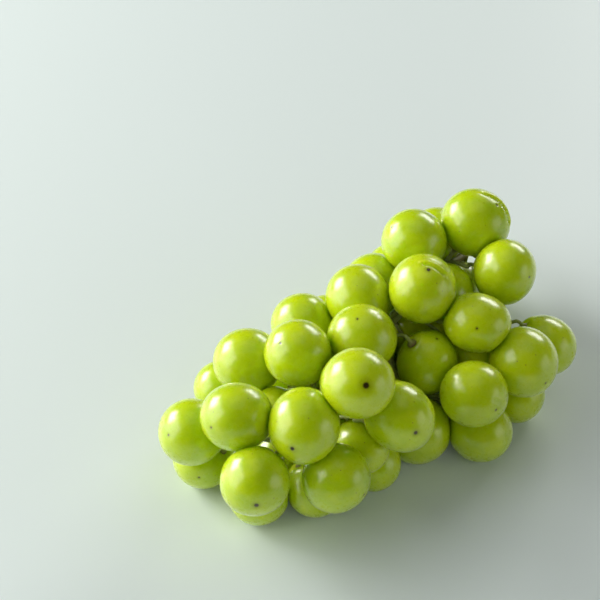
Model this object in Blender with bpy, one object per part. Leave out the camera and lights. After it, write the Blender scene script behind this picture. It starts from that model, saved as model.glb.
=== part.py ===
"""A bunch of large green seedless grapes, lying on its side with its stalk towards +X.

It has two pieces. The berries lean on each other and are fused into one green body. The stem is
the woody stalk end, the main stem inside the bunch and a short stalk to each berry, which stands
in a small socket there.

The berries that show from the front are placed as they are seen along the sight lines of an eye
in front of the bunch: each has its place on a flat sheet that faces the eye, and the height of its
centre above the surface. Hidden berries then fill the room that is left round the main stem, and
all of them settle until they lean on their neighbours and on the surface.
"""
import bmesh
import bpy
import numpy as np
from math import cos, pi, radians, sin
from mathutils import Matrix, Vector

# Driving dimensions, in metres and radians
EYE_DISTANCE = 0.812
EYE_RAISE = radians(40.4)
SHEET_STEP = 0.000451
HEADING = radians(49.0)

SEEN_RADII = (0.0110, 0.0144)
HIDDEN_RADII = (0.0123, 0.0098)
HIDDEN_REACHES = (0.012, 0.018, 0.024, 0.030, 0.036, 0.044)
HIDDEN_SHARE = 0.95
KEPT_SHARE = 0.91
SURROUND_REACH = 0.010
BARE_STALK = 5
ROUTE_POINTS = 25
TURNS_ROUND_STEM = 24
OUTLINE_PLACES = 12
OUTLINE_RINGS = (0.5, 1.0)
CROWD = 0.0030
LOWERING = 0.005
LEAN = 0.0018
TOUCH = 0.0013
FLAT_SPOT = 0.0005
STEM_ROOM = 0.0026
GAP = 0.0003

# How berries settle: shares of each misfit that one pass takes up, and how far a pull reaches
PASSES = 300
PUSH = 0.35
PULL = 0.2
PULL_REACH = 0.0035
HOLD = 0.3
HOLD_REACH = 0.004
STEM_PUSH = 0.3
ACROSS_SIGHT = 0.4
ALONG_SIGHT = 0.03
HIDDEN_SPRING = 0.3
REST_REACH = 0.0015

STALK_RADIUS = 0.0030
MAIN_STEM_RADIUS = 0.0017
TIP_THINNING = 0.0006
BRANCH_RADIUS = 0.0013
TWIG_RADIUS = 0.0008
CUSHION_RADIUS = 0.0021
CUSHION_NARROWING = 0.8
STALK_SHARE = 0.33
CUT_END_FLARE = 1.15
SOCKET_DEPTH = 0.0016
SOCKET_ANGLE = radians(42.0)
STALK_STAND_OFF = 0.0035
STALK_LENGTH = 0.010
STEM_NEARNESS = 0.33
LONG_TWIG = 0.015
LONG_BENDS = 4
SHORT_BENDS = 3
EASING = 0.3
PLACED_EASING = 0.02
CLEARING = 0.6
EASING_ROUNDS = 60
SOCKET_ROUNDS = 40

SEEN_SIDES = (9, 7)
HIDDEN_SIDES = (8, 6)
FACET_SWELL = 1.035
WELD = 0.00001
SCRAP_CORNERS = 30
SURFACE_WIDTH = 0.4
SURFACE_DEPTH = 0.02

# Berries that show from the front: across and up on the sheet and radius there, in sheet steps,
# then the height of the centre above the surface, in millimetres
SEEN_BERRIES = (
    (-110, -132, 31.5, 32),
    (-96, -155, 30, 12),
    (-64, -116.5, 35.5, 52),
    (5, -124, 37.5, 54),
    (-46, -183.5, 35.5, 36),
    (-42, -197, 30.5, 12),
    (17, -191, 29.5, 12),
    (37, -178, 34, 31),
    (61, -147, 28, 34),
    (73, -167, 28, 13),
    (99, -117, 36, 49),
    (58, -83, 37.2, 70),
    (118, -132.5, 32.5, 14),
    (64.5, -38, 35, 60),
    (123.5, 12, 34.8, 66),
    (125, -64, 33, 38),
    (179.5, -22.5, 32.5, 52),
    (206, 28.5, 33.2, 52),
    (175.5, 77.5, 35, 58),
    (112.5, 59, 33.5, 62),
    (136, 69, 28, 32),
    (147, 9, 29, 33),
    (57, 4, 32.8, 54),
    (75, 17, 31, 36),
    (2, -25, 31.8, 38),
    (-5, -52.5, 34.2, 56),
    (-53, -61, 34.2, 38),
    (-80, -88, 27, 17),
    (176, -98, 34.5, 38),
    (180.5, -132, 31, 13),
    (225, -61.5, 35.5, 36),
    (247, -44, 31, 24),
    (216, -94, 29, 13),
    (25, -22, 27, 22),
    (93, 30, 28, 28),
    (-24, -156, 26, 11),
)

# Where the surface shows through the bunch, on the sheet
OPEN_SIGHTS = ((170, 37), (212, -10))

# Stalks that show or pass close behind a gap, by berry: points on the sheet that each one passes,
# and the height there
PLACED_STALKS = {
    17: ((153, 41, 50), (164, 36, 50), (172, 27, 48)),
    31: ((180, -16, 36), (196, -26, 34), (212, -26, 32)),
    15: ((99, -30, 46), (110, -37, 46)),
    28: ((99, -76, 25), (123, -95, 21), (150, -94, 24)),
    10: ((36, -113, 38), (50, -114, 42), (62, -114, 43)),
}

# The main stem's route from the cut end to the tip, in millimetres: across and away on the
# surface, and up
MAIN_STEM_ROUTE = (
    (82, 31, 24),
    (78, 17, 30),
    (72, 0, 38),
    (67, -20, 43),
    (58, -40, 46),
    (42, -64, 41),
    (25, -86, 36),
    (9, -106, 33),
    (-6, -120, 30),
)

RIGHT = np.array((1.0, 0.0, 0.0))
RISE = np.array((0.0, sin(EYE_RAISE), cos(EYE_RAISE)))
EYE = EYE_DISTANCE * np.array((0.0, -cos(EYE_RAISE), sin(EYE_RAISE)))


def seen(across, up, height):
    """The point at a height above the surface that shows at this place on the sheet."""
    ray = (across * RIGHT + up * RISE) * SHEET_STEP - EYE
    return EYE + ray * (height - EYE[2]) / ray[2]


def smooth_route(points, count):
    """Evenly counted points on a smooth curve through a route's own points."""
    points = np.array(points, float)
    padded = np.vstack([2 * points[0] - points[1], points, 2 * points[-1] - points[-2]])
    places = []
    for place in np.linspace(0, len(points) - 1, count):
        start = min(int(place), len(points) - 2)
        t = place - start
        a, b, c, d = padded[start:start + 4]
        curve = 2 * b + (c - a) * t + (2 * a - 5 * b + 4 * c - d) * t ** 2
        places.append((curve + (3 * b - a - 3 * c + d) * t ** 3) / 2)
    return np.array(places)


def settle(centres, radii, aims, free, stem):
    """Berries push and lean on each other, and the seen ones keep to their sight lines."""
    centres = centres.copy()
    count = len(centres)
    sight = aims - EYE
    sight /= np.linalg.norm(sight, axis=1)[:, None]
    reach = radii[:, None] + radii[None] - LEAN
    rows = np.arange(count)
    depth = np.linalg.norm(aims[:, None] - stem[None], axis=2).min(axis=1)
    outer = depth[:, None] <= depth[None]
    for _ in range(PASSES):
        apart = centres[:, None] - centres[None]
        length = np.linalg.norm(apart, axis=2) + np.eye(count)
        gap = length - reach
        np.fill_diagonal(gap, 1.0)
        step = np.where(gap < 0, -PUSH * gap, 0)
        step += np.where((gap > 0) & (gap < PULL_REACH), -PULL * gap, 0)
        inner = np.where(outer, 1.0, gap)
        nearest = inner.argmin(axis=1)
        step[rows, nearest] -= HOLD * np.clip(inner[rows, nearest], 0, HOLD_REACH)
        centres += (step[:, :, None] * apart / length[:, :, None]).sum(axis=1)

        from_stem = centres[:, None] - stem[None]
        distance = np.linalg.norm(from_stem, axis=2)
        closest = distance.argmin(axis=1)
        distance = distance[rows, closest]
        too_near = np.where(free, STEM_PUSH * np.clip(radii + STEM_ROOM - distance, 0, None), 0)
        centres += too_near[:, None] * from_stem[rows, closest] / distance[:, None]

        off = aims - centres
        along = (off * sight).sum(axis=1)[:, None] * sight
        back = ACROSS_SIGHT * (off - along) + ALONG_SIGHT * along
        centres += np.where(free[:, None], HIDDEN_SPRING * off, back)
        resting = centres[:, 2] - radii < REST_REACH
        centres[resting, 2] = radii[resting] - FLAT_SPOT
    return centres


def share_hidden(point, radius, centres, radii):
    """How much of a berry's outline is behind nearer berries or in a gap amid them, from 0 to 1."""
    sight = point - EYE
    depth = np.linalg.norm(sight)
    others = np.linalg.norm(centres - point, axis=1) > 0
    centres = centres[others] - EYE
    radii = radii[others]
    near = np.linalg.norm(centres, axis=1) < depth
    covered = ~near & (np.arange(len(centres)) < len(SEEN_BERRIES))
    side = np.cross(sight, RISE)
    side /= np.linalg.norm(side)
    rise = np.cross(side, sight) / depth
    spots = [point]
    for ring in OUTLINE_RINGS:
        for turn in np.linspace(0, 2 * pi, OUTLINE_PLACES, endpoint=False):
            spots.append(point + ring * radius * (cos(turn) * side + sin(turn) * rise))
    hidden = 0
    for spot in spots:
        ray = (spot - EYE) / np.linalg.norm(spot - EYE)
        off = centres - (centres @ ray)[:, None] * ray
        beside = np.linalg.norm(off, axis=1) - radii
        if (beside[near] < 0).any():
            hidden += 1
            continue
        if (beside[covered] < 0).any():
            continue
        off = off[beside < SURROUND_REACH]
        bearings = np.sort(np.arctan2(off @ rise, off @ side))
        if len(bearings) > 2:
            widest = np.diff(np.append(bearings, bearings[0] + 2 * pi)).max()
            hidden += widest < pi
    return hidden / len(spots)


def in_open_sight(point, radius):
    """Whether a hidden berry here would close a place where the surface shows through."""
    for across, up in OPEN_SIGHTS:
        ray = seen(across, up, 0.0) - EYE
        ray /= np.linalg.norm(ray)
        if np.linalg.norm(np.cross(point - EYE, ray)) < radius:
            return True
    return False


def room_places(stem):
    """Places to try for hidden berries: rings round the main stem, the closest ones first."""
    for reach in HIDDEN_REACHES:
        for place in range(BARE_STALK, len(stem) - 1):
            heading = stem[place + 1] - stem[place]
            side = np.cross(heading, (0, 0, 1))
            side /= np.linalg.norm(side)
            over = np.cross(side, heading / np.linalg.norm(heading))
            for turn in np.linspace(0, 2 * pi, TURNS_ROUND_STEM, endpoint=False):
                yield stem[place] + reach * (side * cos(turn) + over * sin(turn))


def hidden_berries(centres, radii, stem):
    """Fills the room inside the outline that the eye sees, with large berries and then small."""
    hidden = []
    for radius in HIDDEN_RADII:
        for point in room_places(stem):
            if point[2] < radius - LOWERING:
                continue
            if point[2] < radius + LOWERING:
                point[2] = radius - FLAT_SPOT
            if np.linalg.norm(stem - point, axis=1).min() < radius + STEM_ROOM:
                continue
            gaps = np.linalg.norm(centres - point, axis=1) - radii - radius
            if gaps.min() < -CROWD or in_open_sight(point, radius):
                continue
            if share_hidden(point, radius, centres, radii) < HIDDEN_SHARE:
                continue
            hidden.append((point, radius))
            centres = np.vstack([centres, point])
            radii = np.append(radii, radius)
    return hidden


def close_up(centres, radii):
    """Swells the two berries of the narrowest gap until all of them hang together."""
    radii = radii.copy()
    group = np.arange(len(radii))
    distance = np.linalg.norm(centres[:, None] - centres[None], axis=2)
    while len(set(group)) > 1:
        gap = distance - radii[:, None] - radii[None] + TOUCH
        gap[group[:, None] == group[None]] = 1.0
        first, second = np.unravel_index(gap.argmin(), gap.shape)
        radii[[first, second]] += max(gap[first, second], 0) / 2
        group[group == group[second]] = group[first]
    return radii


def all_berries(stem):
    """Centres and radii of every berry, once they have settled."""
    aims = np.array([seen(across, up, high / 1000) for across, up, size, high in SEEN_BERRIES])
    sizes = np.array([row[2] for row in SEEN_BERRIES]) * SHEET_STEP
    radii = sizes * ((aims - EYE) @ -EYE) / EYE_DISTANCE ** 2
    radii = np.clip(radii, *SEEN_RADII)
    shown = np.zeros(len(aims), bool)
    centres = settle(aims, radii, aims, shown, stem)
    hidden = hidden_berries(centres, radii, stem)
    places = [point for point, _ in hidden]
    radii = np.append(radii, [radius for _, radius in hidden])
    free = np.append(shown, [True] * len(hidden))
    aims = np.vstack([aims] + places)
    centres = settle(np.vstack([centres] + places), radii, aims, free, stem)
    kept = [index for index, centre in enumerate(centres)
            if not free[index] or share_hidden(centre, radii[index], centres, radii) > KEPT_SHARE]
    radii = radii[kept]
    centres = settle(centres[kept], radii, aims[kept], free[kept], stem)
    radii = close_up(centres, radii)
    centres[:, 2] = np.maximum(centres[:, 2], radii - FLAT_SPOT)
    return centres, radii


def thread(path, room, centres, radii, fixed_end=1, easing=EASING):
    """Eases a path between the berries, with room round it, and keeps its ends where they are."""
    path = path.copy()
    inner = slice(1, len(path) - fixed_end)
    for _ in range(EASING_ROUNDS):
        middle = (path[:-2] + path[2:]) / 2
        path[inner] += easing * (middle[:len(path[inner])] - path[inner])
        apart = path[inner][:, None] - centres[None]
        length = np.linalg.norm(apart, axis=2)
        inside = np.clip(radii + room - length, 0, None)
        path[inner] += CLEARING * (inside[:, :, None] * apart / length[:, :, None]).sum(axis=1)
    return path


def socket_direction(index, centres, radii, towards):
    """The way out of a berry that heads for the stem and stays off the berries it leans on."""
    apart = centres - centres[index]
    length = np.linalg.norm(apart, axis=1)
    touching = (length > 0) & (length < radii + radii[index] + STALK_STAND_OFF)
    leaning = apart[touching] / length[touching][:, None]
    way = towards / np.linalg.norm(towards)
    for _ in range(SOCKET_ROUNDS):
        crowd = np.clip(leaning @ way - cos(SOCKET_ANGLE), 0, None)
        way = way - (crowd[:, None] * leaning).sum(axis=0) / 2
        way /= np.linalg.norm(way)
    return way


def twig_paths(centres, radii, stem):
    """A stalk for every berry: a side branch of the main stem, or a twig of a side branch."""
    twigs = []
    roots = list(stem[BARE_STALK:])
    on_stem = len(roots)
    distance = np.linalg.norm(centres[:, None] - stem[None], axis=2).min(axis=1)
    for index in np.argsort(distance):
        centre = centres[index]
        radius = radii[index]
        cost = [abs(np.linalg.norm(root - centre) - radius - STALK_LENGTH)
                + STEM_NEARNESS * np.linalg.norm(stem - root, axis=1).min() for root in roots]
        choice = int(np.argmin(cost))
        placed = [seen(across, up, high / 1000) for across, up, high in PLACED_STALKS.get(index, ())]
        if placed:
            choice = int(np.argmin([np.linalg.norm(root - placed[0]) for root in roots]))
        root = roots[choice]
        way = socket_direction(index, centres, radii, (placed or [root])[-1] - centre)
        seat = centre + way * (radius - SOCKET_DEPTH)
        outside = centre + way * (radius + STALK_STAND_OFF)
        if placed:
            path = np.vstack([root] + placed + [outside, seat])
        else:
            bends = LONG_BENDS if np.linalg.norm(outside - root) > LONG_TWIG else SHORT_BENDS
            path = np.vstack([root + (outside - root) * t for t in np.linspace(0, 1, bends)] + [seat])
        easing = PLACED_EASING if placed else EASING
        path = thread(path, TWIG_RADIUS + GAP, centres, radii, 2, easing)
        branching = choice < on_stem
        twigs.append((path, BRANCH_RADIUS if branching else TWIG_RADIUS))
        if branching and not placed:
            roots += [path[-3], path[-4]]
    return twigs


def bunch_layout():
    """The berries, the main stem and the twigs, turned and centred into the bunch's own frame."""
    route = smooth_route(np.array(MAIN_STEM_ROUTE) / 1000, ROUTE_POINTS)
    centres, radii = all_berries(route)
    stem = thread(route, STEM_ROOM, centres, radii)
    twigs = twig_paths(centres, radii, stem)
    turn = np.array(Matrix.Rotation(-HEADING, 3, "Z"))
    centres = centres @ turn.T
    stem = stem @ turn.T
    low = np.vstack([centres - radii[:, None], stem - STALK_RADIUS]).min(axis=0)
    high = np.vstack([centres + radii[:, None], stem + STALK_RADIUS]).max(axis=0)
    middle = (low + high) / 2
    middle[2] = 0
    twigs = [(path @ turn.T - middle, width) for path, width in twigs]
    return centres - middle, radii, stem - middle, twigs


def collection(name):
    made = bpy.data.collections.new(name)
    bpy.context.scene.collection.children.link(made)
    return made


def material(name, colour, roughness):
    made = bpy.data.materials.new(name)
    made.use_nodes = True
    shader = made.node_tree.nodes["Principled BSDF"]
    shader.inputs["Base Color"].default_value = (*colour, 1)
    shader.inputs["Roughness"].default_value = roughness
    return made


def berry_ball(number, centre, radius, group):
    """A berry with few sides, a little swollen so that its facets lie about its true surface."""
    name = f"berry_{number}"
    segments, rings = SEEN_SIDES if number < len(SEEN_BERRIES) else HIDDEN_SIDES
    mesh = bpy.data.meshes.new(name)
    shape = bmesh.new()
    bmesh.ops.create_uvsphere(shape, u_segments=segments, v_segments=rings,
                              radius=radius * FACET_SWELL)
    bmesh.ops.translate(shape, vec=Vector(centre), verts=shape.verts)
    shape.to_mesh(mesh)
    shape.free()
    ball = bpy.data.objects.new(name, mesh)
    group.objects.link(ball)
    return ball


def tube(name, path, widths, group):
    """A solid tube along a path, with its own radius at each point."""
    curve = bpy.data.curves.new(name, "CURVE")
    curve.dimensions = "3D"
    curve.bevel_depth = 1.0
    curve.bevel_resolution = 1
    curve.use_fill_caps = True
    spline = curve.splines.new("POLY")
    spline.points.add(len(path) - 1)
    for point, place, width in zip(spline.points, path, widths):
        point.co = (*place, 1)
        point.radius = width
    guide = bpy.data.objects.new(name + "_guide", curve)
    group.objects.link(guide)
    bpy.context.view_layer.update()
    mesh = bpy.data.meshes.new_from_object(guide.evaluated_get(bpy.context.evaluated_depsgraph_get()))
    shape = bmesh.new()
    shape.from_mesh(mesh)
    bmesh.ops.remove_doubles(shape, verts=shape.verts, dist=WELD)
    bmesh.ops.recalc_face_normals(shape, faces=shape.faces)
    shape.to_mesh(mesh)
    shape.free()
    solid = bpy.data.objects.new(name, mesh)
    solid.matrix_world = guide.matrix_world
    group.objects.link(solid)
    bpy.data.objects.remove(guide)
    return solid


def keep_main_body(mesh):
    """Fills hollows that a Boolean sealed and drops loose scraps: only the main body stays."""
    shape = bmesh.new()
    shape.from_mesh(mesh)
    unseen = set(shape.verts)
    bodies = []
    while unseen:
        body = [unseen.pop()]
        for corner in body:
            for edge in corner.link_edges:
                other = edge.other_vert(corner)
                if other in unseen:
                    unseen.remove(other)
                    body.append(other)
        bodies.append(body)
    bodies.sort(key=len)
    for body in bodies[:-1]:
        if len(body) > SCRAP_CORNERS:
            raise ValueError("two large bodies don't touch")
        bmesh.ops.delete(shape, geom=body, context="VERTS")
    shape.to_mesh(mesh)
    shape.free()


def apply_boolean(target, operation, **operand):
    """Runs one Boolean on the target and keeps its result as the target's mesh."""
    cut = target.modifiers.new(operation, "BOOLEAN")
    cut.operation = operation
    cut.solver = "EXACT"
    cut.use_self = True
    for key, value in operand.items():
        setattr(cut, key, value)
    bpy.context.view_layer.update()
    seen_now = target.evaluated_get(bpy.context.evaluated_depsgraph_get())
    mesh = bpy.data.meshes.new_from_object(seen_now)
    target.modifiers.clear()
    target.data = mesh
    keep_main_body(mesh)


def fuse(name, pieces, target_group):
    """Joins the pieces with one Boolean union on their collection, which is then emptied."""
    first = pieces[0]
    rest = collection(name + "_rest")
    for piece in pieces[1:]:
        piece.users_collection[0].objects.unlink(piece)
        rest.objects.link(piece)
    apply_boolean(first, "UNION", operand_type="COLLECTION", collection=rest)
    for piece in pieces[1:]:
        bpy.data.objects.remove(piece)
    bpy.data.collections.remove(rest)
    first.users_collection[0].objects.unlink(first)
    target_group.objects.link(first)
    first.name = name
    first.data.name = name
    return first


def stem_solid(name, stem, twigs, extra, group):
    """The fused stem. With extra, it is that much thicker and its twigs end that much deeper."""
    count = len(stem)
    taper = np.linspace(0, 1, count)
    thicker = (STALK_RADIUS - MAIN_STEM_RADIUS) * np.clip(1 - taper / STALK_SHARE, 0, 1)
    widths = MAIN_STEM_RADIUS + thicker - TIP_THINNING * taper
    widths[0] *= CUT_END_FLARE
    pieces = [tube(name + "_main", stem, widths + extra, group)]
    for number, (twig, root_width) in enumerate(twigs):
        inward = (twig[-1] - twig[-2]) / np.linalg.norm(twig[-1] - twig[-2])
        neck = twig[-1] - inward * SOCKET_DEPTH
        path = np.vstack([twig[:-1], neck, twig[-1] + inward * extra])
        widths = np.linspace(root_width, TWIG_RADIUS, len(path))
        widths[-2:] = CUSHION_RADIUS, CUSHION_RADIUS * CUSHION_NARROWING
        pieces.append(tube(f"{name}_twig_{number}", path, widths + extra, group))
    return fuse(name, pieces, group)


def main():
    for thing in list(bpy.data.objects):
        bpy.data.objects.remove(thing)
    bunch = collection("grape_bunch")
    cutters = collection("cutters")
    centres, radii, stem_path, twigs = bunch_layout()

    balls = [berry_ball(number, centre, radius, bunch)
             for number, (centre, radius) in enumerate(zip(centres, radii))]
    berries = fuse("berries", balls, bunch)
    stem = stem_solid("stem", stem_path, twigs, 0.0, bunch)
    sockets = stem_solid("sockets", stem_path, twigs, GAP, cutters)
    apply_boolean(berries, "DIFFERENCE", object=sockets)

    bpy.ops.mesh.primitive_cube_add(size=1, location=(0, 0, -SURFACE_DEPTH / 2))
    surface = bpy.context.object
    surface.name = "surface"
    surface.dimensions = (SURFACE_WIDTH, SURFACE_WIDTH, SURFACE_DEPTH)
    bpy.ops.object.transform_apply(location=True, rotation=True, scale=True)
    apply_boolean(berries, "DIFFERENCE", object=surface)
    for cutter in (sockets, surface):
        bpy.data.objects.remove(cutter)
    bpy.data.collections.remove(cutters)

    berries.data.materials.clear()
    berries.data.materials.append(material("grape_skin", (0.38, 0.50, 0.02), 0.25))
    stem.data.materials.clear()
    stem.data.materials.append(material("green_stem", (0.25, 0.26, 0.07), 0.7))
    for piece in (berries, stem):
        piece.data.shade_smooth()
        piece.data.set_sharp_from_angle(angle=radians(40))


main()
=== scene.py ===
"""Looks of the grape bunch: skins, stalks, floor, light and camera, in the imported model's frame."""
import bmesh
import bpy
import numpy as np
from math import cos, pi, radians, sin
from mathutils import Matrix, Vector, kdtree, noise
from random import Random


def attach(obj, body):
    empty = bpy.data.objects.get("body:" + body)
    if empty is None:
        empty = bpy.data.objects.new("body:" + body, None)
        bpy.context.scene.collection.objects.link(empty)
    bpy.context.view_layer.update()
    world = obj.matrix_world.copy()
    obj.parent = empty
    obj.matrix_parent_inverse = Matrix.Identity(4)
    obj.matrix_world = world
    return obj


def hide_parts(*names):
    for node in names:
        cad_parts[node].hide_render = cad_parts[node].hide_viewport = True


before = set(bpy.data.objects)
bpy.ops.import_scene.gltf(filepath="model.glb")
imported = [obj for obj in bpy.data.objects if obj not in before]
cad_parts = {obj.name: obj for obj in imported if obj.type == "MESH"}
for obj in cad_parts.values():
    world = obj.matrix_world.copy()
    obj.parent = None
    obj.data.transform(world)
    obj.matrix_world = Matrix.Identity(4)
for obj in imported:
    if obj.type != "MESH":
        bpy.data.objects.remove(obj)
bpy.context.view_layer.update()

# The layout, in metres and radians, is the same as the solids'
EYE_DISTANCE = 0.812
EYE_RAISE = radians(40.4)
SHEET_STEP = 0.000451
HEADING = radians(49.0)

SEEN_RADII = (0.0110, 0.0144)
HIDDEN_RADII = (0.0123, 0.0098)
HIDDEN_REACHES = (0.012, 0.018, 0.024, 0.030, 0.036, 0.044)
HIDDEN_SHARE = 0.95
KEPT_SHARE = 0.91
SURROUND_REACH = 0.010
BARE_STALK = 5
ROUTE_POINTS = 25
TURNS_ROUND_STEM = 24
OUTLINE_PLACES = 12
OUTLINE_RINGS = (0.5, 1.0)
CROWD = 0.0030
LOWERING = 0.005
LEAN = 0.0018
TOUCH = 0.0013
FLAT_SPOT = 0.0005
STEM_ROOM = 0.0026
GAP = 0.0003

# How berries settle: shares of each misfit that one pass takes up, and how far a pull reaches
PASSES = 300
PUSH = 0.35
PULL = 0.2
PULL_REACH = 0.0035
HOLD = 0.3
HOLD_REACH = 0.004
STEM_PUSH = 0.3
ACROSS_SIGHT = 0.4
ALONG_SIGHT = 0.03
HIDDEN_SPRING = 0.3
REST_REACH = 0.0015

STALK_RADIUS = 0.0030
MAIN_STEM_RADIUS = 0.0017
TIP_THINNING = 0.0006
BRANCH_RADIUS = 0.0013
TWIG_RADIUS = 0.0008
CUSHION_RADIUS = 0.0021
STALK_SHARE = 0.33
SOCKET_DEPTH = 0.0016
SOCKET_ANGLE = radians(42.0)
STALK_STAND_OFF = 0.0035
STALK_LENGTH = 0.010
STEM_NEARNESS = 0.33
LONG_TWIG = 0.015
LONG_BENDS = 4
SHORT_BENDS = 3
EASING = 0.3
PLACED_EASING = 0.02
CLEARING = 0.6
EASING_ROUNDS = 60
SOCKET_ROUNDS = 40

CLUSTERS = ("berries_tip", "berries_lower", "berries_middle", "berries_upper", "berries_shoulder")

# How finely a berry's skin is cut, with its points drawn together round the scar
BERRY_SIDES = 64
BERRY_BANDS = 48
CREASED_SIDES = 128
CREASED_BANDS = 96
POLE_CROWDING = 0.8
SIDE_HINT = (0.31, 0.52, 0.79)

# Flats where berries are pressed, the dimple round the stalk, and the scar at the other end
CONTACT_GAP = 0.00006
CONTACT_ROUNDING = 0.0011
CONTACT_REACH = 0.002
LEAST_FACING = 0.05
SEAT_DEPTH = 0.0011
SEAT_WIDTH = 0.0024
SEAT_RIM = 0.25
SEAT_RIM_PLACE = 1.9
SCAR_WIDTH = 0.0009
SCAR_DEPTH = 0.00022
SCAR_KNOB = 3.2
SCAR_WANDER = 0.3

# Chance in the berries' shapes: its seed, their extra length, and the slow waves in their skin
SEED = 31
EXTRA_LENGTH = (0.002, 0.026)
WAVES = 4
WAVE_BEND = 3.2
WAVE_START = 6
WAVE_HEIGHT = 0.0055
TONE_STEP = 0.37

# A furrow and the ridge beside it: widths and places in millimetres
FURROW_STEPS = 13
GROOVE_WIDTH = 0.8
RIDGE_SHARE = 0.6
RIDGE_PLACE = 1.7
RIDGE_WIDTH = 1.0
FAR_OFF = 9.0

# The stem's skin: how finely it is cut, its knots, and how woody each part is, from 0 to 1
STEM_POINTS = 150
TWIG_POINTS = 26
STALK_ROUNDNESS = 4
STEM_KNOTS = ((0.05, 61), (0.03, 137))
CUT_END_FLARES = (1.15, 1.10, 1.05, 1.02)
TWIG_END_SHARE = 0.95
TWIG_THINNING = 1.25
ROOT_SWELLING = 0.7
ROOT_REACH = 0.06
CUSHION_SHARE = 0.98
CUSHION_PLACE_MM = 0.9
CUSHION_REACH_MM = 1.15
WOODY_LOSS = 1.6
LEAST_WOODY = 0.25
TWIG_WOODY = 0.22
CUSHION_WOODY = 0.55
WELD_REACH = 0.00001
BARK_GRAINS = (900, 2300)
SMOOTH_RELIEF = 0.00005
WOODY_RELIEF = 0.00012
CUT_FACE_TURN = 0.6
CUT_FACE_REACH = 1.3

# Style scars that show, by berry: across and up on the sheet, in sheet steps
SEEN_SCARS = {
    0: (-131.5, -135),
    1: (-101, -177.5),
    2: (-89, -127.5),
    3: (-7.5, -148.5),
    4: (-43.5, -205.5),
    10: (115.5, -132.5),
    11: (66, -85.5),
    13: (57.5, -19),
    14: (128.5, 30),
    15: (137, -39),
    16: (177, -28.5),
    18: (197, 95),
    19: (91.5, 73),
    25: (-20, -43),
    28: (196, -110),
    30: (245.5, -83),
}

# Scars that are wider than the others, by berry
WIDE_SCARS = {11: 1.6, 4: 1.2, 3: 1.05, 14: 1.0, 10: 1.0}
FAINT_SCAR = 0.55

# Berries that show clearly longer one way: shares of the radius added across, upward and aslant
SEEN_SHAPES = {
    2: (0.005, -0.040, 0.00),
    3: (-0.020, 0.045, 0.00),
    7: (-0.010, 0.010, 0.03),
    10: (0.010, 0.000, -0.09),
    11: (0.030, -0.020, 0.00),
    13: (0.030, 0.005, 0.00),
    14: (-0.005, 0.030, 0.00),
    15: (-0.060, 0.000, 0.03),
    16: (0.060, -0.050, -0.03),
    17: (-0.060, 0.020, 0.04),
    18: (0.025, -0.005, -0.03),
    30: (-0.030, 0.010, 0.00),
    31: (0.000, -0.045, -0.05),
}

# Furrows by berry: where each one starts, bends and ends on the sheet, and its depth in millimetres
FURROWS = {
    14: ((124, 36), (133, 33), (144, 25), 0.75),
    18: ((184, 106), (199, 98), (208, 78), 0.75),
    10: ((120, -96), (131, -103), (138, -113), 0.30),
    28: ((193, -100), (203, -104), (208, -113), 0.20),
}

# Berries that show from the front: across and up on the sheet and radius there, in sheet steps,
# then the height of the centre above the surface, in millimetres
SEEN_BERRIES = (
    (-110, -132, 31.5, 32),
    (-96, -155, 30, 12),
    (-64, -116.5, 35.5, 52),
    (5, -124, 37.5, 54),
    (-46, -183.5, 35.5, 36),
    (-42, -197, 30.5, 12),
    (17, -191, 29.5, 12),
    (37, -178, 34, 31),
    (61, -147, 28, 34),
    (73, -167, 28, 13),
    (99, -117, 36, 49),
    (58, -83, 37.2, 70),
    (118, -132.5, 32.5, 14),
    (64.5, -38, 35, 60),
    (123.5, 12, 34.8, 66),
    (125, -64, 33, 38),
    (179.5, -22.5, 32.5, 52),
    (206, 28.5, 33.2, 52),
    (175.5, 77.5, 35, 58),
    (112.5, 59, 33.5, 62),
    (136, 69, 28, 32),
    (147, 9, 29, 33),
    (57, 4, 32.8, 54),
    (75, 17, 31, 36),
    (2, -25, 31.8, 38),
    (-5, -52.5, 34.2, 56),
    (-53, -61, 34.2, 38),
    (-80, -88, 27, 17),
    (176, -98, 34.5, 38),
    (180.5, -132, 31, 13),
    (225, -61.5, 35.5, 36),
    (247, -44, 31, 24),
    (216, -94, 29, 13),
    (25, -22, 27, 22),
    (93, 30, 28, 28),
    (-24, -156, 26, 11),
)

# Where the surface shows through the bunch, on the sheet
OPEN_SIGHTS = ((170, 37), (212, -10))

# Stalks that show or pass close behind a gap, by berry: points on the sheet that each one passes,
# and the height there
PLACED_STALKS = {
    17: ((153, 41, 50), (164, 36, 50), (172, 27, 48)),
    31: ((180, -16, 36), (196, -26, 34), (212, -26, 32)),
    15: ((99, -30, 46), (110, -37, 46)),
    28: ((99, -76, 25), (123, -95, 21), (150, -94, 24)),
    10: ((36, -113, 38), (50, -114, 42), (62, -114, 43)),
}

# The main stem's route from the cut end to the tip, in millimetres: across and away on the
# surface, and up
MAIN_STEM_ROUTE = (
    (82, 31, 24),
    (78, 17, 30),
    (72, 0, 38),
    (67, -20, 43),
    (58, -40, 46),
    (42, -64, 41),
    (25, -86, 36),
    (9, -106, 33),
    (-6, -120, 30),
)

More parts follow.
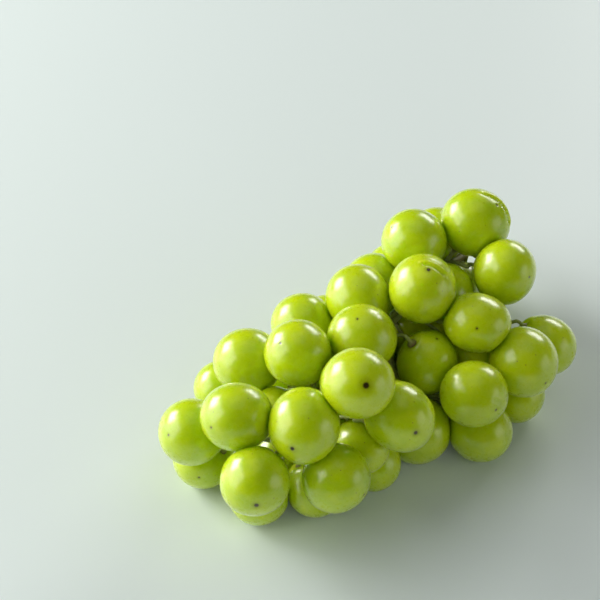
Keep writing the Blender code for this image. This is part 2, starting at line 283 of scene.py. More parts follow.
# Colours of the skin, the bark and the surface
CLOUDED_GREEN = ((0.32, (0.43, 0.60, 0.0008, 1)), (0.70, (0.57, 0.71, 0.002, 1)))
RIPE_GOLD = (0.56, 0.65, 0.002, 1)
VEIN_GREEN = (0.66, 0.75, 0.10, 1)
DOT_GREEN = (0.70, 0.78, 0.14, 1)
FLECK_BROWN = (0.16, 0.13, 0.02, 1)
SCAR_HALO = (0.25, 0.29, 0.003, 1)
SCAR_BROWN = (0.035, 0.018, 0.002, 1)
GREEN_TO_WOOD = (
    (0.05, (0.32, 0.38, 0.10, 1)),
    (0.40, (0.24, 0.22, 0.075, 1)),
    (0.68, (0.16, 0.10, 0.040, 1)),
    (0.95, (0.085, 0.045, 0.018, 1)),
)
WART_BROWN = (0.10, 0.065, 0.025, 1)
PITH = ((0.35, (0.42, 0.36, 0.16, 1)), (0.65, (0.66, 0.62, 0.36, 1)))
PALE_SURFACE = (0.74, 0.82, 0.80, 1)

# How the patterns lie: a shift for each berry, the veins' stretch and wander, how far ripeness
# goes, and how the bark's patches change with its woodiness
BERRY_SHIFT = (11, 17, 7)
VEIN_STRETCH = (1, 1, 0.22)
VEIN_WANDER = (0.35, 0.35, 0.35)
OFF_AXIS = (1, 1, 0)
RIPENESS = 0.45
PATCH_SHARE = 0.75
WOOD_START = 0.40

# Soft lights: the direction from the bunch, distance, width and height, watts and colour
LIGHTS = {
    "window": ((-0.83, 0.43, 0.42), 1.5, (0.75, 0.60), 18, (1.0, 0.99, 0.97)),
    "pale_wall": ((-0.95, -0.10, 0.40), 1.5, (1.6, 1.5), 22, (1.0, 1.0, 0.97)),
    "low_right": ((0.93, -0.30, 0.22), 1.5, (0.9, 0.7), 2.4, (1.0, 0.99, 0.96)),
    "far_window": ((0.55, 0.85, 0.45), 1.7, (0.9, 0.5), 10, (1.0, 1.0, 0.98)),
    "overhead": ((0.0, 0.1, 1.0), 1.8, (1.6, 1.6), 2.5, (0.97, 0.99, 1.0)),
    "room_fill": ((0.2, -0.8, 0.55), 1.5, (1.2, 0.9), 3.6, (1.0, 1.0, 1.0)),
}
LIT_HEIGHT = 0.04
ROOM_COLOUR = (0.86, 0.90, 0.92, 1)
ROOM_STRENGTH = 0.015
LENS = 108
SENSOR_WIDTH = 36
FLOOR_REACH = 4.0

RIGHT = np.array((1.0, 0.0, 0.0))
RISE = np.array((0.0, sin(EYE_RAISE), cos(EYE_RAISE)))
EYE = EYE_DISTANCE * np.array((0.0, -cos(EYE_RAISE), sin(EYE_RAISE)))


def seen(across, up, height):
    """The point at a height above the surface that shows at this place on the sheet."""
    ray = (across * RIGHT + up * RISE) * SHEET_STEP - EYE
    return EYE + ray * (height - EYE[2]) / ray[2]


def smooth_route(points, count):
    """Evenly counted points on a smooth curve through a route's own points."""
    points = np.array(points, float)
    padded = np.vstack([2 * points[0] - points[1], points, 2 * points[-1] - points[-2]])
    places = []
    for place in np.linspace(0, len(points) - 1, count):
        start = min(int(place), len(points) - 2)
        t = place - start
        a, b, c, d = padded[start:start + 4]
        curve = 2 * b + (c - a) * t + (2 * a - 5 * b + 4 * c - d) * t ** 2
        places.append((curve + (3 * b - a - 3 * c + d) * t ** 3) / 2)
    return np.array(places)


def settle(centres, radii, aims, free, stem):
    """Berries push and lean on each other, and the seen ones keep to their sight lines."""
    centres = centres.copy()
    count = len(centres)
    sight = aims - EYE
    sight /= np.linalg.norm(sight, axis=1)[:, None]
    reach = radii[:, None] + radii[None] - LEAN
    rows = np.arange(count)
    depth = np.linalg.norm(aims[:, None] - stem[None], axis=2).min(axis=1)
    outer = depth[:, None] <= depth[None]
    for _ in range(PASSES):
        apart = centres[:, None] - centres[None]
        length = np.linalg.norm(apart, axis=2) + np.eye(count)
        gap = length - reach
        np.fill_diagonal(gap, 1.0)
        step = np.where(gap < 0, -PUSH * gap, 0)
        step += np.where((gap > 0) & (gap < PULL_REACH), -PULL * gap, 0)
        inner = np.where(outer, 1.0, gap)
        nearest = inner.argmin(axis=1)
        step[rows, nearest] -= HOLD * np.clip(inner[rows, nearest], 0, HOLD_REACH)
        centres += (step[:, :, None] * apart / length[:, :, None]).sum(axis=1)

        from_stem = centres[:, None] - stem[None]
        distance = np.linalg.norm(from_stem, axis=2)
        closest = distance.argmin(axis=1)
        distance = distance[rows, closest]
        too_near = np.where(free, STEM_PUSH * np.clip(radii + STEM_ROOM - distance, 0, None), 0)
        centres += too_near[:, None] * from_stem[rows, closest] / distance[:, None]

        off = aims - centres
        along = (off * sight).sum(axis=1)[:, None] * sight
        back = ACROSS_SIGHT * (off - along) + ALONG_SIGHT * along
        centres += np.where(free[:, None], HIDDEN_SPRING * off, back)
        resting = centres[:, 2] - radii < REST_REACH
        centres[resting, 2] = radii[resting] - FLAT_SPOT
    return centres


def share_hidden(point, radius, centres, radii):
    """How much of a berry's outline is behind nearer berries or in a gap amid them, from 0 to 1."""
    sight = point - EYE
    depth = np.linalg.norm(sight)
    others = np.linalg.norm(centres - point, axis=1) > 0
    centres = centres[others] - EYE
    radii = radii[others]
    near = np.linalg.norm(centres, axis=1) < depth
    covered = ~near & (np.arange(len(centres)) < len(SEEN_BERRIES))
    side = np.cross(sight, RISE)
    side /= np.linalg.norm(side)
    rise = np.cross(side, sight) / depth
    spots = [point]
    for ring in OUTLINE_RINGS:
        for turn in np.linspace(0, 2 * pi, OUTLINE_PLACES, endpoint=False):
            spots.append(point + ring * radius * (cos(turn) * side + sin(turn) * rise))
    hidden = 0
    for spot in spots:
        ray = (spot - EYE) / np.linalg.norm(spot - EYE)
        off = centres - (centres @ ray)[:, None] * ray
        beside = np.linalg.norm(off, axis=1) - radii
        if (beside[near] < 0).any():
            hidden += 1
            continue
        if (beside[covered] < 0).any():
            continue
        off = off[beside < SURROUND_REACH]
        bearings = np.sort(np.arctan2(off @ rise, off @ side))
        if len(bearings) > 2:
            widest = np.diff(np.append(bearings, bearings[0] + 2 * pi)).max()
            hidden += widest < pi
    return hidden / len(spots)


def in_open_sight(point, radius):
    """Whether a hidden berry here would close a place where the surface shows through."""
    for across, up in OPEN_SIGHTS:
        ray = seen(across, up, 0.0) - EYE
        ray /= np.linalg.norm(ray)
        if np.linalg.norm(np.cross(point - EYE, ray)) < radius:
            return True
    return False


def room_places(stem):
    """Places to try for hidden berries: rings round the main stem, the closest ones first."""
    for reach in HIDDEN_REACHES:
        for place in range(BARE_STALK, len(stem) - 1):
            heading = stem[place + 1] - stem[place]
            side = np.cross(heading, (0, 0, 1))
            side /= np.linalg.norm(side)
            over = np.cross(side, heading / np.linalg.norm(heading))
            for turn in np.linspace(0, 2 * pi, TURNS_ROUND_STEM, endpoint=False):
                yield stem[place] + reach * (side * cos(turn) + over * sin(turn))


def hidden_berries(centres, radii, stem):
    """Fills the room inside the outline that the eye sees, with large berries and then small."""
    hidden = []
    for radius in HIDDEN_RADII:
        for point in room_places(stem):
            if point[2] < radius - LOWERING:
                continue
            if point[2] < radius + LOWERING:
                point[2] = radius - FLAT_SPOT
            if np.linalg.norm(stem - point, axis=1).min() < radius + STEM_ROOM:
                continue
            gaps = np.linalg.norm(centres - point, axis=1) - radii - radius
            if gaps.min() < -CROWD or in_open_sight(point, radius):
                continue
            if share_hidden(point, radius, centres, radii) < HIDDEN_SHARE:
                continue
            hidden.append((point, radius))
            centres = np.vstack([centres, point])
            radii = np.append(radii, radius)
    return hidden


def close_up(centres, radii):
    """Swells the two berries of the narrowest gap until all of them hang together."""
    radii = radii.copy()
    group = np.arange(len(radii))
    distance = np.linalg.norm(centres[:, None] - centres[None], axis=2)
    while len(set(group)) > 1:
        gap = distance - radii[:, None] - radii[None] + TOUCH
        gap[group[:, None] == group[None]] = 1.0
        first, second = np.unravel_index(gap.argmin(), gap.shape)
        radii[[first, second]] += max(gap[first, second], 0) / 2
        group[group == group[second]] = group[first]
    return radii


def all_berries(stem):
    """Centres and radii of every berry, once they have settled."""
    aims = np.array([seen(across, up, high / 1000) for across, up, size, high in SEEN_BERRIES])
    sizes = np.array([row[2] for row in SEEN_BERRIES]) * SHEET_STEP
    radii = sizes * ((aims - EYE) @ -EYE) / EYE_DISTANCE ** 2
    radii = np.clip(radii, *SEEN_RADII)
    shown = np.zeros(len(aims), bool)
    centres = settle(aims, radii, aims, shown, stem)
    hidden = hidden_berries(centres, radii, stem)
    places = [point for point, _ in hidden]
    radii = np.append(radii, [radius for _, radius in hidden])
    free = np.append(shown, [True] * len(hidden))
    aims = np.vstack([aims] + places)
    centres = settle(np.vstack([centres] + places), radii, aims, free, stem)
    kept = [index for index, centre in enumerate(centres)
            if not free[index] or share_hidden(centre, radii[index], centres, radii) > KEPT_SHARE]
    radii = radii[kept]
    centres = settle(centres[kept], radii, aims[kept], free[kept], stem)
    radii = close_up(centres, radii)
    centres[:, 2] = np.maximum(centres[:, 2], radii - FLAT_SPOT)
    return centres, radii


def thread(path, room, centres, radii, fixed_end=1, easing=EASING):
    """Eases a path between the berries, with room round it, and keeps its ends where they are."""
    path = path.copy()
    inner = slice(1, len(path) - fixed_end)
    for _ in range(EASING_ROUNDS):
        middle = (path[:-2] + path[2:]) / 2
        path[inner] += easing * (middle[:len(path[inner])] - path[inner])
        apart = path[inner][:, None] - centres[None]
        length = np.linalg.norm(apart, axis=2)
        inside = np.clip(radii + room - length, 0, None)
        path[inner] += CLEARING * (inside[:, :, None] * apart / length[:, :, None]).sum(axis=1)
    return path


def socket_direction(index, centres, radii, towards):
    """The way out of a berry that heads for the stem and stays off the berries it leans on."""
    apart = centres - centres[index]
    length = np.linalg.norm(apart, axis=1)
    touching = (length > 0) & (length < radii + radii[index] + STALK_STAND_OFF)
    leaning = apart[touching] / length[touching][:, None]
    way = towards / np.linalg.norm(towards)
    for _ in range(SOCKET_ROUNDS):
        crowd = np.clip(leaning @ way - cos(SOCKET_ANGLE), 0, None)
        way = way - (crowd[:, None] * leaning).sum(axis=0) / 2
        way /= np.linalg.norm(way)
    return way


def twig_paths(centres, radii, stem):
    """A stalk for every berry: a side branch of the main stem, or a twig of a side branch."""
    twigs = []
    roots = list(stem[BARE_STALK:])
    on_stem = len(roots)
    distance = np.linalg.norm(centres[:, None] - stem[None], axis=2).min(axis=1)
    for index in np.argsort(distance):
        centre = centres[index]
        radius = radii[index]
        cost = [abs(np.linalg.norm(root - centre) - radius - STALK_LENGTH)
                + STEM_NEARNESS * np.linalg.norm(stem - root, axis=1).min() for root in roots]
        choice = int(np.argmin(cost))
        placed = [seen(across, up, high / 1000) for across, up, high in PLACED_STALKS.get(index, ())]
        if placed:
            choice = int(np.argmin([np.linalg.norm(root - placed[0]) for root in roots]))
        root = roots[choice]
        way = socket_direction(index, centres, radii, (placed or [root])[-1] - centre)
        seat = centre + way * (radius - SOCKET_DEPTH)
        outside = centre + way * (radius + STALK_STAND_OFF)
        if placed:
            path = np.vstack([root] + placed + [outside, seat])
        else:
            bends = LONG_BENDS if np.linalg.norm(outside - root) > LONG_TWIG else SHORT_BENDS
            path = np.vstack([root + (outside - root) * t for t in np.linspace(0, 1, bends)] + [seat])
        easing = PLACED_EASING if placed else EASING
        path = thread(path, TWIG_RADIUS + GAP, centres, radii, 2, easing)
        branching = choice < on_stem
        twigs.append((index, path, BRANCH_RADIUS if branching else TWIG_RADIUS))
        if branching and not placed:
            roots += [path[-3], path[-4]]
    return twigs


def bunch_layout():
    """The berries, the main stem and the twigs, turned and centred into the bunch's own frame."""
    route = smooth_route(np.array(MAIN_STEM_ROUTE) / 1000, ROUTE_POINTS)
    centres, radii = all_berries(route)
    stem = thread(route, STEM_ROOM, centres, radii)
    twigs = twig_paths(centres, radii, stem)
    turn = np.array(Matrix.Rotation(-HEADING, 3, "Z"))
    centres = centres @ turn.T
    stem = stem @ turn.T
    low = np.vstack([centres - radii[:, None], stem - STALK_RADIUS]).min(axis=0)
    high = np.vstack([centres + radii[:, None], stem + STALK_RADIUS]).max(axis=0)
    middle = (low + high) / 2
    middle[2] = 0
    twigs = [(index, path @ turn.T - middle, width) for index, path, width in twigs]
    return centres - middle, radii, stem - middle, twigs, turn, middle


def sight_line(across, up, turn):
    """The direction in the bunch's frame in which this place on the sheet shows."""
    ray = (across * RIGHT + up * RISE) * SHEET_STEP - EYE
    return turn @ (ray / np.linalg.norm(ray))


def place_on_berry(centre, radius, place, turn, middle):
    """The way from a berry's centre to the point of its skin that shows at a place on the sheet."""
    eye = turn @ EYE - middle
    ray = sight_line(*place, turn)
    along = (centre - eye) @ ray
    foot = eye + ray * along - centre
    miss = foot @ foot
    way = foot - ray * np.sqrt(max(radius ** 2 - miss, 0))
    return way / np.linalg.norm(way)


def berry_axes(scar):
    """Three axes for a berry, the last of them through its scar."""
    side = np.cross(scar, SIDE_HINT)
    side /= np.linalg.norm(side)
    return np.array([side, np.cross(scar, side), scar])


def soft_smaller(first, second, rounding):
    """The smaller of two lengths, with a rounded change-over from one to the other."""
    share = np.clip(0.5 + 0.5 * (second - first) / rounding, 0, 1)
    return second + (first - second) * share - rounding * share * (1 - share)


def furrow_dip(ways, size, route, depth):
    """How far a furrow and the low ridge beside it move the skin, for each way from the centre."""
    nearest = np.full(len(ways), FAR_OFF)
    beside = np.zeros(len(ways))
    steps = smooth_route(route, FURROW_STEPS)
    for start, end in zip(steps[:-1], steps[1:]):
        middle = (start + end) / 2
        across = np.cross(middle, end - start)
        across /= np.linalg.norm(across)
        apart = (ways - middle) * size
        distance = np.linalg.norm(apart, axis=1)
        closer = distance < nearest
        nearest = np.where(closer, distance, nearest)
        beside = np.where(closer, apart @ across, beside)
    mm = 1000 * nearest
    groove = -np.exp(-(mm / GROOVE_WIDTH) ** 2)
    ridge = RIDGE_SHARE * np.exp(-((mm - RIDGE_PLACE) / RIDGE_WIDTH) ** 2) * (beside > 0)
    return depth / 1000 * (groove + ridge)


def ripe_berry(name, number, berry, leaning, scar, seat, creases, across, upward, draw):
    """One berry: a slightly long ball with a scar, a stalk dimple, and flats where it is pressed."""
    centre, radius = berry
    sides = CREASED_SIDES if creases else BERRY_SIDES
    bands = CREASED_BANDS if creases else BERRY_BANDS
    shape = bmesh.new()
    bmesh.ops.create_uvsphere(shape, u_segments=sides, v_segments=bands, radius=1.0)
    mesh = bpy.data.meshes.new(name)
    shape.to_mesh(mesh)
    shape.free()
    points = np.zeros(len(mesh.vertices) * 3)
    mesh.vertices.foreach_get("co", points)
    points = points.reshape(-1, 3)

    down = np.arccos(np.clip(points[:, 2], -1, 1))
    down -= POLE_CROWDING / 2 * np.sin(2 * down)
    flat = np.linalg.norm(points[:, :2], axis=1) + 1e-12
    skin = np.column_stack([points[:, 0] / flat * np.sin(down), points[:, 1] / flat * np.sin(down),
                            np.cos(down)])
    ways = skin @ berry_axes(scar)

    length = draw.uniform(*EXTRA_LENGTH)
    wider, taller, aslant = SEEN_SHAPES.get(number, (0, 0, 0))
    side = ways @ across
    rise = ways @ upward
    size = radius * (1 + length * (1.5 * skin[:, 2] ** 2 - 0.5))
    size += radius * (wider * side ** 2 + taller * rise ** 2 + aslant * side * rise)
    for _ in range(WAVES):
        wave = np.array([draw.uniform(-WAVE_BEND, WAVE_BEND) for _ in range(3)])
        size += radius * WAVE_HEIGHT * np.sin(ways @ wave + draw.uniform(0, WAVE_START))
    scar_size = WIDE_SCARS.get(number, FAINT_SCAR)
    from_scar = np.sin(down) * radius / SCAR_WIDTH / scar_size
    near_scar = skin[:, 2] > 0
    size -= near_scar * SCAR_DEPTH * np.exp(-from_scar ** 2)
    size += near_scar * SCAR_DEPTH * np.exp(-(SCAR_KNOB * from_scar) ** 2)
    from_seat = np.linalg.norm(ways - seat, axis=1) * radius / SEAT_WIDTH
    rim = SEAT_RIM * np.exp(-(from_seat - SEAT_RIM_PLACE) ** 2)
    size += SEAT_DEPTH * (rim - np.exp(-from_seat ** 2))
    for start, bend, end, depth in creases:
        size += furrow_dip(ways, radius, (start, bend, end), depth)

    for way, reach in leaning:
        facing = ways @ way
        flat_reach = (reach - CONTACT_GAP) / np.maximum(facing, LEAST_FACING)
        flat_reach = np.where(facing > LEAST_FACING, flat_reach, 1.0)
        size = soft_smaller(size, flat_reach, CONTACT_ROUNDING)
    mesh.vertices.foreach_set("co", (centre + ways * size[:, None]).ravel())

    place = mesh.attributes.new("skin_place", "FLOAT_VECTOR", "POINT")
    place.data.foreach_set("vector", (skin * (size / radius)[:, None]).ravel())
    tone = mesh.attributes.new("berry_tone", "FLOAT_VECTOR", "POINT")
    tones = np.tile([draw.random(), draw.random(), number * TONE_STEP], len(points))
    tone.data.foreach_set("vector", tones)
    scar_sizes = mesh.attributes.new("scar_size", "FLOAT", "POINT")
    scar_sizes.data.foreach_set("value", np.full(len(points), scar_size))
    mesh.shade_smooth()
    ball = bpy.data.objects.new(name, mesh)
    bpy.context.scene.collection.objects.link(ball)
    return ball


def joined(name, pieces):
    """One object out of several, under a name of its own."""
    with bpy.context.temp_override(active_object=pieces[0], selected_editable_objects=pieces):
        bpy.ops.object.join()
    pieces[0].name = name
    pieces[0].data.name = name
    return pieces[0]


def all_skins(centres, radii, seats, turn, middle):
    """Every berry, each pressed flat against those that it leans on, in clusters along the stem."""
    draw = Random(SEED)
    skins = []
    for number, (centre, radius) in enumerate(zip(centres, radii)):
        leaning = []
        for other, size in zip(centres, radii):
            apart = other - centre
            distance = np.linalg.norm(apart)
            if 0 < distance < radius + size + CONTACT_REACH:
                reach = (distance ** 2 + radius ** 2 - size ** 2) / (2 * distance)
                leaning.append((apart / distance, reach))
        if centre[2] < radius + CONTACT_REACH:
            leaning.append((np.array((0.0, 0.0, -1.0)), centre[2] + CONTACT_GAP))
        wander = [draw.uniform(-SCAR_WANDER, SCAR_WANDER) for _ in range(3)]
        scar = -seats[number] + np.array(wander)
        scar /= np.linalg.norm(scar)
        if number in SEEN_SCARS:
            scar = place_on_berry(centre, radius, SEEN_SCARS[number], turn, middle)
        creases = []
        if number in FURROWS:
            *route, depth = FURROWS[number]
            ways = [place_on_berry(centre, radius, place, turn, middle) for place in route]
            creases = [(*ways, depth)]
        skins.append(ripe_berry(f"berry_{number}", number, (centre, radius), leaning, scar,
                                seats[number], creases, turn @ RIGHT, turn @ RISE, draw))
    order = np.argsort(centres[:, 0])
    clusters = []
    for name, numbers in zip(CLUSTERS, np.array_split(order, len(CLUSTERS))):
        clusters.append(joined(name, [skins[number] for number in numbers]))
    return clusters


def stalks(stem, twigs):
    """The whole stem in one skin: woody stalk end, main stem, side branches and berry stalks."""
    curve = bpy.data.curves.new("stalks", "CURVE")
    curve.dimensions = "3D"
    curve.bevel_depth = 1.0
    curve.bevel_resolution = STALK_ROUNDNESS
    curve.use_fill_caps = True
    marks = []

    def strand(path, widths, woody):
        spline = curve.splines.new("POLY")
        spline.points.add(len(path) - 1)
        for point, place, width in zip(spline.points, path, widths):
            point.co = (*place, 1)
            point.radius = width
        marks.extend(zip(path, woody))

    taper = np.linspace(0, 1, STEM_POINTS)
    path = smooth_route(stem, STEM_POINTS)
    thicker = (STALK_RADIUS - MAIN_STEM_RADIUS) * np.clip(1 - taper / STALK_SHARE, 0, 1)
    widths = MAIN_STEM_RADIUS + thicker - TIP_THINNING * taper
    widths *= 1 + sum(height * np.sin(taper * turns) for height, turns in STEM_KNOTS)
    widths[:len(CUT_END_FLARES)] *= CUT_END_FLARES
    strand(path, widths, np.clip(1.0 - WOODY_LOSS * taper, LEAST_WOODY, 1))
    for number, twig, root_width in twigs:
        if number in PLACED_STALKS:
            root_width = TWIG_RADIUS
        inward = (twig[-1] - twig[-2]) / np.linalg.norm(twig[-1] - twig[-2])
        neck = twig[-1] - inward * SOCKET_DEPTH
        path = smooth_route(np.vstack([twig[:-1], neck, twig[-1]]), TWIG_POINTS)
        along = np.linspace(0, 1, TWIG_POINTS)
        left_mm = np.linalg.norm(path - twig[-1], axis=1) * 1000
        thinner = TWIG_RADIUS * TWIG_END_SHARE - root_width
        widths = root_width + thinner * np.clip(along * TWIG_THINNING, 0, 1)
        widths *= 1 + ROOT_SWELLING * np.exp(-(along / ROOT_REACH) ** 2)
        cushion = np.exp(-((left_mm - CUSHION_PLACE_MM) / CUSHION_REACH_MM) ** 2)
        widths = widths + (CUSHION_RADIUS * CUSHION_SHARE - widths) * cushion
        strand(path, widths, TWIG_WOODY * (1 - along) + CUSHION_WOODY * cushion)

    guide = bpy.data.objects.new("stalk_guide", curve)
    bpy.context.scene.collection.objects.link(guide)
    bpy.context.view_layer.update()
    mesh = bpy.data.meshes.new_from_object(guide.evaluated_get(bpy.context.evaluated_depsgraph_get()))
    bpy.data.objects.remove(guide)
    mesh.name = "stalks"
    piece = bpy.data.objects.new("stalks", mesh)
    bpy.context.scene.collection.objects.link(piece)
    shape = bmesh.new()
    shape.from_mesh(mesh)
    bmesh.ops.remove_doubles(shape, verts=shape.verts, dist=WELD_REACH)
    bmesh.ops.recalc_face_normals(shape, faces=shape.faces)
    shape.to_mesh(mesh)
    shape.free()

    tree = kdtree.KDTree(len(marks))
    for number, (place, _) in enumerate(marks):
        tree.insert(place, number)
    tree.balance()
    woodiness = np.zeros(len(mesh.vertices))
    for vertex in mesh.vertices:
        _, number, _ = tree.find(vertex.co)
        wood = marks[number][1]
        woodiness[vertex.index] = wood
        rough = sum(noise.noise(vertex.co * grain) for grain in BARK_GRAINS) / len(BARK_GRAINS)
        vertex.co += vertex.normal * rough * (SMOOTH_RELIEF + WOODY_RELIEF * wood)
    woody = mesh.attributes.new("woodiness", "FLOAT", "POINT")
    woody.data.foreach_set("value", woodiness)
    end = Vector(stem[0])
    outward = Vector(stem[0] - stem[1]).normalized()
    face = []
    for vertex in mesh.vertices:
        turned = max(0, vertex.normal.dot(outward) - CUT_FACE_TURN) / (1 - CUT_FACE_TURN)
        face.append(turned * ((vertex.co - end).length < CUT_FACE_REACH * STALK_RADIUS))
    cut = mesh.attributes.new("cut_face", "FLOAT", "POINT")
    cut.data.foreach_set("value", face)
    mesh.shade_smooth()
    return piece


class Shader:
    """Short ways to make a material's nodes and join them."""

    def __init__(self, name):
        self.made = bpy.data.materials.new(name)
        self.made.use_nodes = True
        self.tree = self.made.node_tree
        self.surface = self.tree.nodes["Principled BSDF"]

    def add(self, kind, **settings):
        node = self.tree.nodes.new(kind)
        for key, value in settings.items():
            if key in node.inputs:
                node.inputs[key].default_value = value
            else:
                setattr(node, key, value)
        return node

    def join(self, source, target):
        self.tree.links.new(source, target)

    def attribute(self, name, output):
        return self.add("ShaderNodeAttribute", attribute_name=name).outputs[output]

    def pattern(self, kind, place, **settings):
        node = self.add(kind, **settings)
        self.join(place, node.inputs["Vector"])
        return node

    def product(self, first, second):
        node = self.add("ShaderNodeMath", operation="MULTIPLY")
        for number, value in enumerate((first, second)):
            if isinstance(value, float):
                node.inputs[number].default_value = value
            else:
                self.join(value, node.inputs[number])
        return node.outputs[0]

    def spread(self, source, factor, offset=None):
        """A vector times a factor, plus another vector."""
        kind = "MULTIPLY" if offset is None else "MULTIPLY_ADD"
        node = self.add("ShaderNodeVectorMath", operation=kind)
        node.inputs[1].default_value = factor
        self.join(source, node.inputs[0])
        if offset is not None:
            self.join(offset, node.inputs[2])
        return node.outputs[0]

    def fade(self, source, start, end, first, last):
        """Goes from the first value to the last one as the source goes from start to end."""
        node = self.add("ShaderNodeMapRange")
        values = {"From Min": start, "From Max": end, "To Min": first, "To Max": last}
        for name, value in values.items():
            node.inputs[name].default_value = value
        self.join(source, node.inputs["Value"])
        return node.outputs["Result"]

    def ramp(self, source, stops):
        node = self.add("ShaderNodeValToRGB")
        elements = node.color_ramp.elements
        elements[0].position, elements[0].color = stops[0]
        elements[1].position, elements[1].color = stops[-1]
        for place, colour in stops[1:-1]:
            elements.new(place).color = colour
        self.join(source, node.inputs["Fac"])
        return node.outputs["Color"]

    def tinted(self, under, share, colour):
        """Mixes a colour, or another output, over what is there so far."""
        node = self.add("ShaderNodeMix", data_type="RGBA")
        if isinstance(colour, tuple):
            node.inputs["B"].default_value = colour
        else:
            self.join(colour, node.inputs["B"])
        self.join(share, node.inputs["Factor"])
        self.join(under, node.inputs["A"])
        return node.outputs["Result"]

    def relief(self, height, strength, distance):
        node = self.add("ShaderNodeBump", Strength=strength, Distance=distance)
        self.join(height, node.inputs["Height"])
        self.join(node.outputs["Normal"], self.surface.inputs["Normal"])

    def look(self, **values):
        for name, value in values.items():
            self.surface.inputs[name.replace("_", " ")].default_value = value


def grape_skin():
    """Yellow-green, glowing skin with pale veins, tiny dots, a few brown flecks and a dark scar."""
    skin = Shader("grape_skin")
    place = skin.attribute("skin_place", "Vector")
    tone = skin.attribute("berry_tone", "Vector")
    apart = skin.spread(tone, BERRY_SHIFT, place)
    clouds = skin.pattern("ShaderNodeTexNoise", apart, Scale=1.6, Detail=4, Roughness=0.55)
    colour = skin.ramp(clouds.outputs["Fac"], CLOUDED_GREEN)
    parts = skin.add("ShaderNodeSeparateXYZ")
    skin.join(tone, parts.inputs[0])
    colour = skin.tinted(colour, skin.product(parts.outputs[0], RIPENESS), RIPE_GOLD)

    lengthways = skin.spread(apart, VEIN_STRETCH)
    wander = skin.pattern("ShaderNodeTexNoise", lengthways, Scale=2.2, Detail=3)
    bent = skin.spread(wander.outputs["Color"], VEIN_WANDER, lengthways)
    veins = skin.pattern("ShaderNodeTexVoronoi", bent, feature="DISTANCE_TO_EDGE", Scale=5.5)
    colour = skin.tinted(colour, skin.fade(veins.outputs["Distance"], 0.0, 0.10, 0.16, 0.0), VEIN_GREEN)
    dots = skin.pattern("ShaderNodeTexVoronoi", apart, feature="F1", Scale=15.0)
    colour = skin.tinted(colour, skin.fade(dots.outputs["Distance"], 0.05, 0.16, 0.30, 0.0), DOT_GREEN)
    flecks = skin.pattern("ShaderNodeTexVoronoi", apart, feature="F1", Scale=3.1)
    fleck = skin.fade(flecks.outputs["Distance"], 0.035, 0.075, 0.75, 0.0)
    colour = skin.tinted(colour, fleck, FLECK_BROWN)

    split = skin.add("ShaderNodeSeparateXYZ")
    skin.join(place, split.inputs[0])
    from_axis = skin.add("ShaderNodeVectorMath", operation="LENGTH")
    skin.join(skin.spread(place, OFF_AXIS), from_axis.inputs[0])
    scar_end = skin.add("ShaderNodeMath", operation="GREATER_THAN")
    skin.join(split.outputs[2], scar_end.inputs[0])
    from_scar = skin.add("ShaderNodeMath", operation="DIVIDE")
    skin.join(from_axis.outputs["Value"], from_scar.inputs[0])
    skin.join(skin.attribute("scar_size", "Fac"), from_scar.inputs[1])
    halo = skin.fade(from_scar.outputs[0], 0.06, 0.17, 0.45, 0.0)
    colour = skin.tinted(colour, skin.product(halo, scar_end.outputs[0]), SCAR_HALO)
    scar = skin.fade(from_scar.outputs[0], 0.038, 0.068, 1.0, 0.0)
    colour = skin.tinted(colour, skin.product(scar, scar_end.outputs[0]), SCAR_BROWN)
    skin.join(colour, skin.surface.inputs["Base Color"])

    bloom = skin.pattern("ShaderNodeTexNoise", apart, Scale=7.0, Detail=5)
    gloss = skin.fade(bloom.outputs["Fac"], 0.35, 0.75, 0.24, 0.40)
    skin.join(gloss, skin.surface.inputs["Roughness"])
    pores = skin.pattern("ShaderNodeTexNoise", apart, Scale=42.0, Detail=3)
    skin.relief(pores.outputs["Fac"], 0.06, 0.0003)
    skin.look(IOR=1.42, Subsurface_Weight=1.0, Subsurface_Radius=(0.9, 1.0, 0.08),
              Subsurface_Scale=0.012, Coat_Weight=1.0, Coat_Roughness=0.22)
    return skin.made


def stalk_bark():
    """Brown, ridged wood at the cut end that turns to pale green on the berry stalks."""
    bark = Shader("stalk_bark")
    place = bark.add("ShaderNodeTexCoord").outputs["Object"]
    patches = bark.pattern("ShaderNodeTexNoise", place, Scale=260.0, Detail=5, Roughness=0.6)
    mixed = bark.add("ShaderNodeMath", operation="MULTIPLY_ADD")
    mixed.inputs[1].default_value = PATCH_SHARE
    bark.join(patches.outputs["Fac"], mixed.inputs[0])
    shifted = bark.add("ShaderNodeMath", operation="SUBTRACT")
    shifted.inputs[1].default_value = WOOD_START
    bark.join(bark.attribute("woodiness", "Fac"), shifted.inputs[0])
    bark.join(shifted.outputs[0], mixed.inputs[2])
    colour = bark.ramp(mixed.outputs[0], GREEN_TO_WOOD)
    warts = bark.pattern("ShaderNodeTexVoronoi", place, feature="F1", Scale=1500.0)
    colour = bark.tinted(colour, bark.fade(warts.outputs["Distance"], 0.18, 0.34, 0.55, 0.0), WART_BROWN)

    grain = bark.pattern("ShaderNodeTexNoise", place, Scale=1400.0, Detail=3)
    pith = bark.ramp(grain.outputs["Fac"], PITH)
    colour = bark.tinted(colour, bark.attribute("cut_face", "Fac"), pith)
    bark.join(colour, bark.surface.inputs["Base Color"])
    bark.relief(patches.outputs["Fac"], 0.45, 0.0003)
    bark.join(bark.fade(mixed.outputs[0], 0.0, 1.0, 0.42, 0.78), bark.surface.inputs["Roughness"])
    bark.look(Subsurface_Weight=0.25, Subsurface_Radius=(1.0, 0.8, 0.3), Subsurface_Scale=0.0008)
    return bark.made


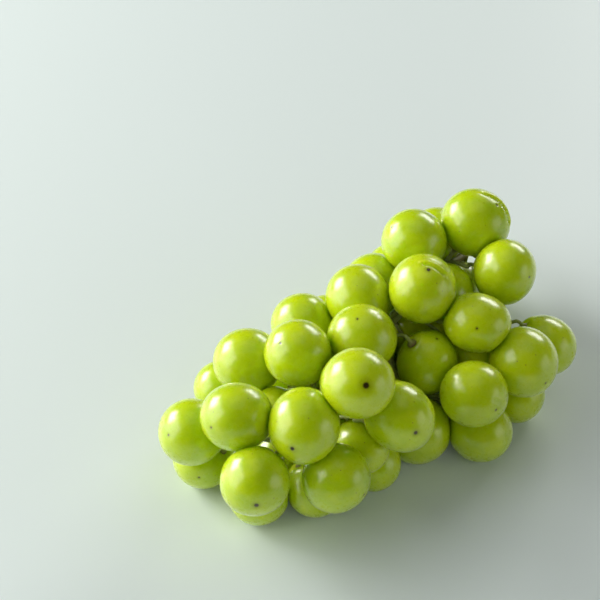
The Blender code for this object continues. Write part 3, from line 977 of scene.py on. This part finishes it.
def pale_floor():
    """A wide, plain, pale surface that the bunch lies on."""
    shape = bmesh.new()
    bmesh.ops.create_grid(shape, x_segments=1, y_segments=1, size=FLOOR_REACH)
    mesh = bpy.data.meshes.new("pale_floor")
    shape.to_mesh(mesh)
    shape.free()
    floor = bpy.data.objects.new("pale_floor", mesh)
    bpy.context.scene.collection.objects.link(floor)
    plain = Shader("pale_floor")
    plain.look(Base_Color=PALE_SURFACE, Roughness=0.42)
    mesh.materials.append(plain.made)


def soft_light(name, towards, distance, size, power, colour, turn, middle):
    """A wide, soft light that hangs in a direction seen from the bunch and faces it."""
    lamp = bpy.data.lights.new(name, "AREA")
    lamp.shape = "RECTANGLE"
    lamp.size, lamp.size_y = size
    lamp.energy = power
    lamp.color = colour
    light = bpy.data.objects.new(name, lamp)
    way = Vector(turn @ np.array(towards)).normalized()
    light.location = way * distance - Vector(middle) + Vector((0, 0, LIT_HEIGHT))
    light.rotation_euler = way.to_track_quat("Z", "Y").to_euler()
    bpy.context.scene.collection.objects.link(light)
    return light


def light_and_view(turn, middle):
    """Window light from the left and behind, a soft glow round it, and the photograph's camera."""
    lights = {name: soft_light(name, *values, turn, middle) for name, values in LIGHTS.items()}
    lights["room_fill"].visible_glossy = False
    world = bpy.data.worlds.new("pale_room")
    world.use_nodes = True
    glow = world.node_tree.nodes["Background"]
    glow.inputs["Color"].default_value = ROOM_COLOUR
    glow.inputs["Strength"].default_value = ROOM_STRENGTH
    bpy.context.scene.world = world
    bpy.context.scene.view_settings.view_transform = "Standard"

    lens = bpy.data.cameras.new("photo_view")
    lens.sensor_width = SENSOR_WIDTH
    lens.lens = LENS
    camera = bpy.data.objects.new("photo_view", lens)
    eye = Vector(turn @ EYE)
    camera.location = eye - Vector(middle)
    camera.rotation_euler = eye.to_track_quat("Z", "Y").to_euler()
    bpy.context.scene.collection.objects.link(camera)
    bpy.context.scene.camera = camera


def dress():
    """Puts the fine skins and stalks in the solids' place."""
    centres, radii, stem, twigs, turn, middle = bunch_layout()
    seats = {}
    for number, path, _ in twigs:
        way = path[-1] - centres[number]
        seats[number] = way / np.linalg.norm(way)
    light_and_view(turn, middle)
    pale_floor()
    skin = grape_skin()
    for cluster in all_skins(centres, radii, seats, turn, middle):
        cluster.data.materials.append(skin)
        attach(cluster, "root")
        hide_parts("berries")
    stem_piece = stalks(stem, twigs)
    stem_piece.data.materials.append(stalk_bark())
    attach(stem_piece, "root")
    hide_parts("stem")


dress()
